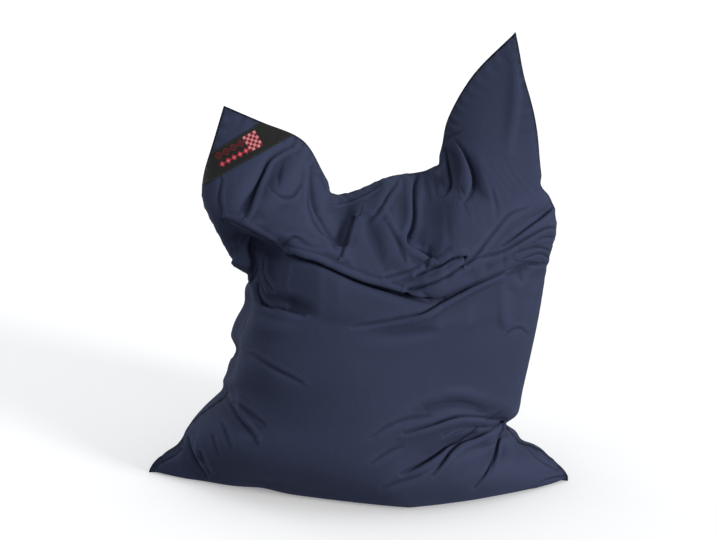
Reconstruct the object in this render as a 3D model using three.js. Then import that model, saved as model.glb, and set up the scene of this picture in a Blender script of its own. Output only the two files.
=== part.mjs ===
// Giant bean bag: a cover of two rectangular panels, sewn together all round and filled with beads.
// It stands on its bottom seam. The lower corners lie out on the floor as fins, the upper third is
// slack and slumps forward in a deep tuck, and the two upper corners stand up as flat ears.
// Millimetres, +Z up, the front faces -Y.
import * as THREE from "three";

// Driving dimensions
const FOOT_SPAN = 1212; // tip to tip of the lower corners as it stands
const EAR_HEIGHT = 1264; // tip of the tall ear above the floor
const SHORT_EAR_HEIGHT = 1078; // tip of the short ear
const COLUMNS = 60; // grid cells across each panel
const BAND_THICKNESS = 1.8; // black ribbon across the short ear
const BAND_GAP = 0.8; // it lies this far off the cover
const BAND_COLUMNS = 44; // grid cells along the ribbon
const BAND_ROWS = 14; // and across it
const CLOTH_COLOUR = 0x2b3150;
const BAND_COLOUR = 0x131412;

// Turns rows of numbers into objects with named columns; the first column may be a word.
function table(columns, rows) {
  const names = columns.split(" ");
  return rows.map((row) => Object.fromEntries(names.map((name, i) => [name, row[i]])));
}

const half = FOOT_SPAN / 2;

// One row for each level of the cover, from the bottom seam to the top seam. Both side seams pass
// through lx, ly, lz and rx, ry, rz. The panels' crowns lie at the share `crown` of the way across,
// at fy, fz in front and by, bz behind. `full` is the section's fullness: 1 is a flat wedge, 2 an
// ellipse and more is boxier; `drop` does the same for the rise or fall towards the crown. `sag` is
// how far the level follows the top seam's dip between the ears. The back panel stands out past the
// left seam by about lo. `steps` is the number of grid rows up to the next level.
const LEVELS = table("name steps sag crown full drop lx ly lz lo rx ry rz fy fz by bz", [
  ["seam", 3, 0, 0.6, 1.2, 2, -half, 10, 0, 0, half - 6, -60, 0, 30, 0, 30, 0],
  ["floor", 2, 0, 0.62, 1.18, 4, -half + 2, 10, 12, 0, half - 6, -60, 16, -268, -14, 330, -14],
  ["toe", 2, 0, 0.6, 1.35, 2, -580, 9, 46, 0, 582, -56, 42, -318, 42, 366, 42],
  ["ankle", 2, 0, 0.57, 1.75, 2, -518, 6, 84, 0, 512, -40, 92, -346, 100, 384, 105],
  ["cuff", 2, 0, 0.56, 2.0, 2, -490, 4, 136, 0, 444, -20, 130, -358, 160, 390, 170],
  ["pinch", 2, 0, 0.55, 2.15, 2, -436, 2, 190, 0, 419, 0, 158, -358, 210, 392, 225],
  ["knee", 2, 0, 0.55, 2.25, 2, -376, 4, 230, 20, 454, 14, 186, -355, 255, 391, 275],
  ["hip", 5, 0, 0.55, 2.3, 2, -354, 4, 290, 90, 465, 22, 250, -348, 310, 386, 335],
  ["belly", 5, 0, 0.55, 2.4, 2, -342, 0, 395, 64, 488, 32, 362, -326, 395, 362, 430],
  ["chest", 4, 0, 0.56, 2.3, 2, -304, -2, 500, 80, 514, 44, 490, -290, 485, 322, 530],
  ["shoulder", 3, 0.02, 0.56, 2.0, 1.4, -314, 0, 584, 20, 531, 50, 590, -236, 560, 290, 600],
  ["tuck", 3, 0.06, 0.55, 1.7, 1.2, -362, -8, 646, 0, 546, 54, 645, -160, 600, 228, 644],
  ["roll", 3, 0.2, 0.55, 1.75, 1.1, -404, -22, 744, 0, 562, 58, 704, -246, 582, 266, 676],
  ["collar", 3, 0.42, 0.56, 1.7, 1.5, -431, -32, 812, 0, 550, 64, 782, -214, 650, 232, 736],
  ["yoke", 4, 0.68, 0.56, 1.6, 2, -427, -36, 880, 0, 520, 74, 850, -120, 734, 200, 792],
  ["ear", 4, 0.92, 0.53, 1.4, 2, -399, -38, 972, 0, 502, 94, 1000, 30, 826, 150, 840],
  ["rim", 0, 1, 0.53, 1.3, 2, -366, -36, SHORT_EAR_HEIGHT, 0, 438, 116, EAR_HEIGHT, 125, 858, 125, 858],
]);

// The top seam from the short ear's tip to the tall ear's, at its share of the seam's length.
const TOP_SEAM = table("name share x y z", [
  ["short_tip", 0, -366, -36, SHORT_EAR_HEIGHT],
  ["short_edge", 0.1, -262, -30, 1034],
  ["short_shoulder", 0.2, -148, -10, 981],
  ["notch_top", 0.31, -86, 30, 868],
  ["notch", 0.36, -50, 84, 814],
  ["saddle", 0.48, 90, 125, 858],
  ["tall_foot", 0.6, 208, 135, 882],
  ["tall_fork", 0.65, 234, 128, 940],
  ["tall_edge", 0.7, 246, 118, 1012],
  ["tall_shoulder", 0.85, 316, 112, 1142],
  ["tall_tip", 1, 438, 116, EAR_HEIGHT],
]);

// Folds are charted as seen by an eye this far off and this high, in front for the panels "front"
// and "both" and behind for "back": a towards +X and b upwards from the middle of the bag.
const EYE_DISTANCE = 5000;
const EYE_RISE = THREE.MathUtils.degToRad(14);
const MIDDLE = new THREE.Vector3(0, 0, 605);

// A fold runs from a0, b0 through a1, b1 to a2, b2. It is a trough reaching `width` to each side,
// with the depths d0, d1 and d2 at those points; a negative depth is a ridge. `lip` is the share of
// the depth by which the cloth beside it rises, on the left of the run if positive, else the right.
const FOLDS = table("name panel a0 b0 a1 b1 a2 b2 width d0 d1 d2 lip", [
  ["short_ear_crease", "both", -187, 336, -272, 240, -318, 155, 32, 6, 28, 14, 0.6],
  ["short_ear_valley", "both", -128, 280, -118, 160, -52, 50, 32, 0, 30, 22, -0.5],
  ["flap_under", "front", -398, 118, -330, 60, -268, 40, 34, 14, 34, 18, 0.2],
  ["saddle_crease", "front", -16, 172, -36, 120, -50, 40, 30, 4, 26, 20, 0.5],
  ["saddle_bend", "front", 158, 252, 124, 130, 196, 22, 32, 10, 34, 28, -0.6],
  ["saddle_soft", "front", 100, 230, 70, 150, 20, 112, 34, 0, 16, 0, 0.3],
  ["hook_roll", "front", 160, -48, 232, -24, 296, 40, 32, -8, -26, -14, 0],
  ["tall_foot_crease", "both", 252, 336, 270, 270, 246, 216, 28, 10, 30, 6, -0.4],
  ["tall_foot_valley", "both", 290, 330, 328, 250, 284, 186, 28, 0, 26, 6, -0.4],
  ["fan_upper", "front", 552, 172, 440, 120, 366, 26, 30, 28, 24, 14, 0.5],
  ["fan_middle", "front", 560, 96, 470, 54, 330, -10, 28, 26, 22, 10, 0.5],
  ["chest_crease", "front", 10, -156, 200, -136, 398, -14, 28, 2, 16, 6, -0.5],
  ["left_pinch", "front", -300, -40, -262, -96, -156, -104, 34, 32, 32, 6, -0.6],
  ["left_waist", "front", -366, -216, -330, -224, -262, -250, 32, 26, 14, 0, 0.3],
  ["left_hip_crease", "front", -372, -330, -352, -392, -272, -470, 32, 22, 26, 2, 0.6],
  ["left_fin_crease", "front", -486, -484, -466, -540, -424, -588, 32, 16, 20, 2, 0.4],
  ["right_pinch_upper", "front", 412, -432, 260, -370, 112, -456, 30, 34, 24, 2, 0.6],
  ["right_pinch_lower", "front", 410, -436, 290, -476, 96, -592, 30, 32, 22, 2, 0.6],
  ["right_fin_crease", "front", 400, -446, 380, -520, 320, -600, 26, 6, 12, 4, 0.3],
  ["back_drape_left", "back", -280, 230, -190, 130, -120, 40, 36, 4, 28, 8, 0.4],
  ["back_drape_right", "back", 300, 260, 250, 150, 170, 40, 38, 6, 30, 8, -0.4],
  ["back_saddle", "back", 60, 170, 40, 110, 0, 40, 34, 4, 22, 6, 0.4],
  ["back_chest_crease", "back", -240, -120, -60, -176, 180, -160, 40, 2, 18, 2, 0.4],
  ["back_right_pinch", "back", 412, -436, 280, -440, 120, -540, 32, 32, 22, 2, 0.5],
  ["back_left_pinch", "back", -366, -330, -300, -400, -170, -470, 34, 26, 22, 2, -0.5],
  ["back_left_waist", "back", -300, -50, -230, -110, -120, -130, 34, 26, 20, 2, 0.5],
]);
const CURVE_STEPS = 24; // places along a fold that a point is measured to

// The corners of the ribbon's outline on the same chart. It is cut off along the ear's two edges.
const BAND_CORNERS = table("name a b", [
  ["top_left", -397, 334],
  ["top_right", -268, 410],
  ["bottom_left", -420, 245],
  ["bottom_right", -192, 372],
]);

// A smooth curve through named points, read at a share that the points give themselves.
function curveThrough(points, shareOf) {
  const curve = new THREE.CatmullRomCurve3(points, false, "centripetal");
  return (share) => {
    let i = 0;
    while (i < points.length - 2 && share > shareOf(i + 1)) i += 1;
    const within = (share - shareOf(i)) / (shareOf(i + 1) - shareOf(i));
    return curve.getPoint((i + within) / (points.length - 1));
  };
}

const topSeam = curveThrough(
  TOP_SEAM.map((p) => new THREE.Vector3(p.x, p.y, p.z)),
  (i) => TOP_SEAM[i].share,
);

// The dip of the top seam under the straight line between the ears' tips.
function dipAt(share) {
  const chord = topSeam(0).lerp(topSeam(1), share);
  return topSeam(share).sub(chord);
}

// The share across a level at grid column j: closer together at the side seams where it is full.
function shareAcross(level, j) {
  const turn = (j / COLUMNS) * 2 - 1;
  const roundness = THREE.MathUtils.clamp((level.full - 1.2) / 0.9, 0, 1);
  const along = THREE.MathUtils.lerp(turn, Math.sin((turn * Math.PI) / 2), roundness);
  return along < 0 ? level.crown * (1 + along) : level.crown + (1 - level.crown) * along;
}

// A point of a level on the front or the back panel.
function levelPoint(level, j, side) {
  const share = shareAcross(level, j);
  const left = new THREE.Vector3(level.lx, level.ly, level.lz);
  const right = new THREE.Vector3(level.rx, level.ry, level.rz);
  const between = (s) => left.clone().lerp(right, s).addScaledVector(dipAt(s), level.sag);
  const middle = between(level.crown);
  const reach = share < level.crown ? level.crown : 1 - level.crown;
  const off = Math.min(1, Math.abs(share - level.crown) / reach);
  const bulge = (1 - off ** level.full) ** (1 / level.full);
  const rise = 1 - off ** level.drop;
  const point = between(share);
  if (side === "front") {
    point.y += (level.fy - middle.y) * bulge;
    point.z += (level.fz - middle.z) * rise;
  } else {
    if (share < level.crown) point.x -= level.lo * 2.6 * off ** 4 * (1 - off ** 8);
    point.y += (level.by - middle.y) * bulge;
    point.z += (level.bz - middle.z) * rise;
  }
  return point;
}

// A panel as a grid of points: rows from the bottom seam to the top seam, columns from left to right.
function panelGrid(side) {
  const columns = [];
  for (let j = 0; j <= COLUMNS; j += 1) {
    const points = LEVELS.map((level) => levelPoint(level, j, side));
    const curve = new THREE.CatmullRomCurve3(points, false, "centripetal");
    const column = [];
    LEVELS.forEach((level, i) => {
      for (let k = 0; k < level.steps; k += 1) {
        column.push(curve.getPoint((i + k / level.steps) / (LEVELS.length - 1)));
      }
    });
    column.push(points[points.length - 1]);
    columns.push(column);
  }
  return columns[0].map((_, row) => columns.map((column) => column[row]));
}

// The direction towards the eye and the one upwards on the chart, seen from the front or the back.
function axesOf(from) {
  const turn = from === "back" ? 1 : -1;
  const [cos, sin] = [Math.cos(EYE_RISE), Math.sin(EYE_RISE)];
  return { towards: new THREE.Vector3(0, turn * cos, sin), upward: new THREE.Vector3(0, -turn * sin, cos) };
}

// Where a point lies on the chart of the folds, and the direction towards the eye.
function sightOf(point, from) {
  const { towards, upward } = axesOf(from);
  const offset = point.clone().sub(MIDDLE);
  const scale = EYE_DISTANCE / (EYE_DISTANCE - offset.dot(towards));
  return { spot: new THREE.Vector2(offset.x * scale, offset.dot(upward) * scale), towards };
}

// The value at t of the parabola through start, middle and end.
const through = (start, middle, end, t) =>
  start * (1 - t) * (1 - 2 * t) + middle * 4 * t * (1 - t) + end * t * (2 * t - 1);

// How deep a fold lies under a spot of the chart.
function foldDepth(fold, spot) {
  let nearest = { distance: Infinity };
  for (let i = 0; i <= CURVE_STEPS; i += 1) {
    const t = i / CURVE_STEPS;
    const a = through(fold.a0, fold.a1, fold.a2, t);
    const b = through(fold.b0, fold.b1, fold.b2, t);
    const distance = Math.hypot(spot.x - a, spot.y - b);
    if (distance < nearest.distance) nearest = { distance, t, a, b };
  }
  const reach = nearest.distance / fold.width;
  if (reach >= 2.6) return 0;
  const depth = through(fold.d0, fold.d1, fold.d2, nearest.t);
  const ahead = Math.min(nearest.t + 0.05, 1);
  const behind = ahead - 0.1;
  const runA = through(fold.a0, fold.a1, fold.a2, ahead) - through(fold.a0, fold.a1, fold.a2, behind);
  const runB = through(fold.b0, fold.b1, fold.b2, ahead) - through(fold.b0, fold.b1, fold.b2, behind);
  const leftward = runA * (spot.y - nearest.b) - runB * (spot.x - nearest.a);
  const trough = reach < 1 ? (1 - reach ** 2) ** 2 : 0;
  const beside = leftward * fold.lip > 0 && reach > 0.5 ? (1 - ((reach - 1.5) / 1.1) ** 2) : 0;
  return depth * (trough - Math.abs(fold.lip) * Math.max(beside, 0) ** 2);
}

// The outward normals of a grid, from its neighbours along and across.
function gridNormals(grid, side) {
  const turn = side === "front" ? 1 : -1;
  return grid.map((row, i) =>
    row.map((_, j) => {
      const last = grid.length - 1;
      const across = grid[i][Math.min(j + 1, COLUMNS)].clone().sub(grid[i][Math.max(j - 1, 0)]);
      const along = grid[Math.min(i + 1, last)][j].clone().sub(grid[Math.max(i - 1, 0)][j]);
      return across.cross(along).multiplyScalar(turn).normalize();
    }),
  );
}

// Presses the folds into a panel. They fade out over the last cells beside the seams and where the
// cloth turns away from the eye.
function pressFolds(grid, side) {
  const normals = gridNormals(grid, side);
  return grid.map((row, i) =>
    row.map((point, j) => {
      const normal = normals[i][j];
      const cells = Math.min(i, grid.length - 1 - i, j, COLUMNS - j);
      const fade = THREE.MathUtils.smoothstep(cells, 0, 2);
      const sight = { front: sightOf(point, "front"), back: sightOf(point, "back") };
      let inward = 0;
      for (const fold of FOLDS) {
        const both = fold.panel === "both";
        if (!both && fold.panel !== side) continue;
        const { spot, towards } = sight[both ? "front" : side];
        const facing = both ? 1 : THREE.MathUtils.smoothstep(normal.dot(towards), 0.12, 0.6);
        const turn = both && side === "back" ? -1 : 1;
        inward += turn * fade * facing * foldDepth(fold, spot);
      }
      return point.clone().addScaledVector(normal, -inward);
    }),
  );
}

// Joins the two panels along their seams into one closed surface. The quads are halved from a to c,
// but for the corner quads whose halves would then both lie on the seams.
function coverGeometry(front, back) {
  const rows = front.length;
  const positions = [];
  const indexOf = new Map();
  const vertex = (side, i, j) => {
    const onSeam = i === 0 || i === rows - 1 || j === 0 || j === COLUMNS;
    const key = `${onSeam ? "seam" : side} ${i} ${j}`;
    if (!indexOf.has(key)) {
      indexOf.set(key, positions.length / 3);
      const point = (side === "front" ? front : back)[i][j];
      positions.push(point.x, point.y, Math.max(point.z, 0));
    }
    return indexOf.get(key);
  };
  const index = [];
  for (const side of ["front", "back"]) {
    for (let i = 0; i < rows - 1; i += 1) {
      for (let j = 0; j < COLUMNS; j += 1) {
        const [a, b] = [vertex(side, i, j), vertex(side, i, j + 1)];
        const [c, d] = [vertex(side, i + 1, j + 1), vertex(side, i + 1, j)];
        const atCorner = (i === 0 && j === COLUMNS - 1) || (i === rows - 2 && j === 0);
        const faces = atCorner ? [a, b, d, b, c, d] : [a, b, c, a, c, d];
        index.push(...(side === "front" ? faces : faces.reverse()));
      }
    }
  }
  const geometry = new THREE.BufferGeometry();
  geometry.setAttribute("position", new THREE.Float32BufferAttribute(positions, 3));
  geometry.setIndex(index);
  geometry.computeVertexNormals();
  return geometry;
}

// The ribbon sewn across the short ear: a thin slab laid on the front panel.
function bandGeometry(cover) {
  const corners = Object.fromEntries(BAND_CORNERS.map((c) => [c.name, new THREE.Vector2(c.a, c.b)]));
  const { towards, upward } = axesOf("front");
  const eye = MIDDLE.clone().addScaledVector(towards, EYE_DISTANCE);
  const caster = new THREE.Raycaster();
  const layers = [[], []];
  for (let i = 0; i <= BAND_ROWS; i += 1) {
    for (let j = 0; j <= BAND_COLUMNS; j += 1) {
      const top = corners.top_left.clone().lerp(corners.top_right, j / BAND_COLUMNS);
      const bottom = corners.bottom_left.clone().lerp(corners.bottom_right, j / BAND_COLUMNS);
      const spot = bottom.lerp(top, i / BAND_ROWS);
      const target = MIDDLE.clone().addScaledVector(upward, spot.y);
      target.x += spot.x;
      caster.set(eye, target.sub(eye).normalize());
      const [hit] = caster.intersectObject(cover);
      const outward = smoothNormal(cover.geometry, hit);
      layers[0].push(hit.point.clone().addScaledVector(outward, BAND_GAP));
      layers[1].push(hit.point.clone().addScaledVector(outward, BAND_GAP + BAND_THICKNESS));
    }
  }
  return slabGeometry(layers[0], layers[1], BAND_ROWS, BAND_COLUMNS);
}

// The normal at a hit, blended from the normals at the corners of the face.
function smoothNormal(geometry, hit) {
  const normals = geometry.getAttribute("normal");
  const positions = geometry.getAttribute("position");
  const { a, b, c } = hit.face;
  const at = (attribute, i) => new THREE.Vector3().fromBufferAttribute(attribute, i);
  return THREE.Triangle.getInterpolation(
    hit.point,
    at(positions, a), at(positions, b), at(positions, c),
    at(normals, a), at(normals, b), at(normals, c),
    new THREE.Vector3(),
  ).normalize();
}

// Closes two grids of rows + 1 by columns + 1 points into a slab, the outer one facing outwards.
function slabGeometry(inner, outer, rows, columns) {
  const points = [...inner, ...outer];
  const at = (layer, i, j) => layer * inner.length + i * (columns + 1) + j;
  const index = [];
  const quad = (a, b, c, d) => index.push(a, b, c, a, c, d);
  for (let i = 0; i < rows; i += 1) {
    for (let j = 0; j < columns; j += 1) {
      quad(at(1, i, j), at(1, i, j + 1), at(1, i + 1, j + 1), at(1, i + 1, j));
      quad(at(0, i, j), at(0, i + 1, j), at(0, i + 1, j + 1), at(0, i, j + 1));
    }
  }
  for (let j = 0; j < columns; j += 1) {
    quad(at(0, 0, j), at(0, 0, j + 1), at(1, 0, j + 1), at(1, 0, j));
    quad(at(1, rows, j), at(1, rows, j + 1), at(0, rows, j + 1), at(0, rows, j));
  }
  for (let i = 0; i < rows; i += 1) {
    quad(at(1, i, 0), at(1, i + 1, 0), at(0, i + 1, 0), at(0, i, 0));
    quad(at(0, i, columns), at(0, i + 1, columns), at(1, i + 1, columns), at(1, i, columns));
  }
  const geometry = new THREE.BufferGeometry().setFromPoints(points);
  geometry.setIndex(index);
  geometry.computeVertexNormals();
  return geometry;
}

const clothMaterial = new THREE.MeshStandardMaterial({ color: CLOTH_COLOUR, roughness: 0.6, metalness: 0 });
const bandMaterial = new THREE.MeshStandardMaterial({ color: BAND_COLOUR, roughness: 0.8, metalness: 0 });

const front = pressFolds(panelGrid("front"), "front");
const back = pressFolds(panelGrid("back"), "back");
const bag = new THREE.Mesh(coverGeometry(front, back), clothMaterial);
bag.name = "bag";
const band = new THREE.Mesh(bandGeometry(bag), bandMaterial);
band.name = "corner_band";

// The origin lies under the middle of the whole, on the floor.
const bounds = new THREE.Box3().setFromObject(bag).union(new THREE.Box3().setFromObject(band));
const middle = bounds.getCenter(new THREE.Vector3());
for (const mesh of [bag, band]) mesh.geometry.translate(-middle.x, -middle.y, 0);

const model = new THREE.Group();
model.add(bag, band);

export default model;
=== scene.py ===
"""Giant bean bag: a navy cloth cover filled with beads, with a black ribbon across one corner.

The cover and the ribbon stand for the solids of the frame. All lengths are in metres.
"""

import math

import bmesh
import bpy
import numpy as np
from bpy.props import FloatProperty, FloatVectorProperty, IntProperty, PointerProperty
from bpy.types import Operator, Panel, PropertyGroup
from mathutils import Matrix, Vector
from mathutils.bvhtree import BVHTree
from mathutils.kdtree import KDTree


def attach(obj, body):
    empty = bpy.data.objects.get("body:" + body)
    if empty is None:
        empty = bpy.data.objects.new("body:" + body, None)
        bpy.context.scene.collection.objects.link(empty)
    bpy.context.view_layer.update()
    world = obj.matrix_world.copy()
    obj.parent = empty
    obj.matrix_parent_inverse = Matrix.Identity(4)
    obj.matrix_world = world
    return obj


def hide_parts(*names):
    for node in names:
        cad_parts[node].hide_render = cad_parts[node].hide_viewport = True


bl_info = {
    "name": "Giant Bean Bag",
    "version": (1, 0, 0),
    "blender": (4, 5, 0),
    "location": "View3D > Sidebar > Bean Bag",
    "description": "Dresses the solids of a giant bean bag in its cover, stitching and ribbon",
    "category": "Add Mesh",
}

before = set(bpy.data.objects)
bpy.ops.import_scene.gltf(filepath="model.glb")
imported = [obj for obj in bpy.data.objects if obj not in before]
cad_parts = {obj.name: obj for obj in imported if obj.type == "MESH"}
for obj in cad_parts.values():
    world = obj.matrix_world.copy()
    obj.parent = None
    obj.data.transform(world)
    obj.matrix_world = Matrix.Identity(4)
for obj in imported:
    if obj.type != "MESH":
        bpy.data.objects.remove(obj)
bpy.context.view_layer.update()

# Folds and nudges are charted in millimetres as an eye sees them that looks at the middle of the
# bag, from the front or from behind: a to the right hand of the frame's +X, b upwards.
MIDDLE = np.array([0.0026, -0.0166, 0.605])
EYE_DISTANCE = 5.0
EYE_RISE = math.radians(14)

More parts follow.
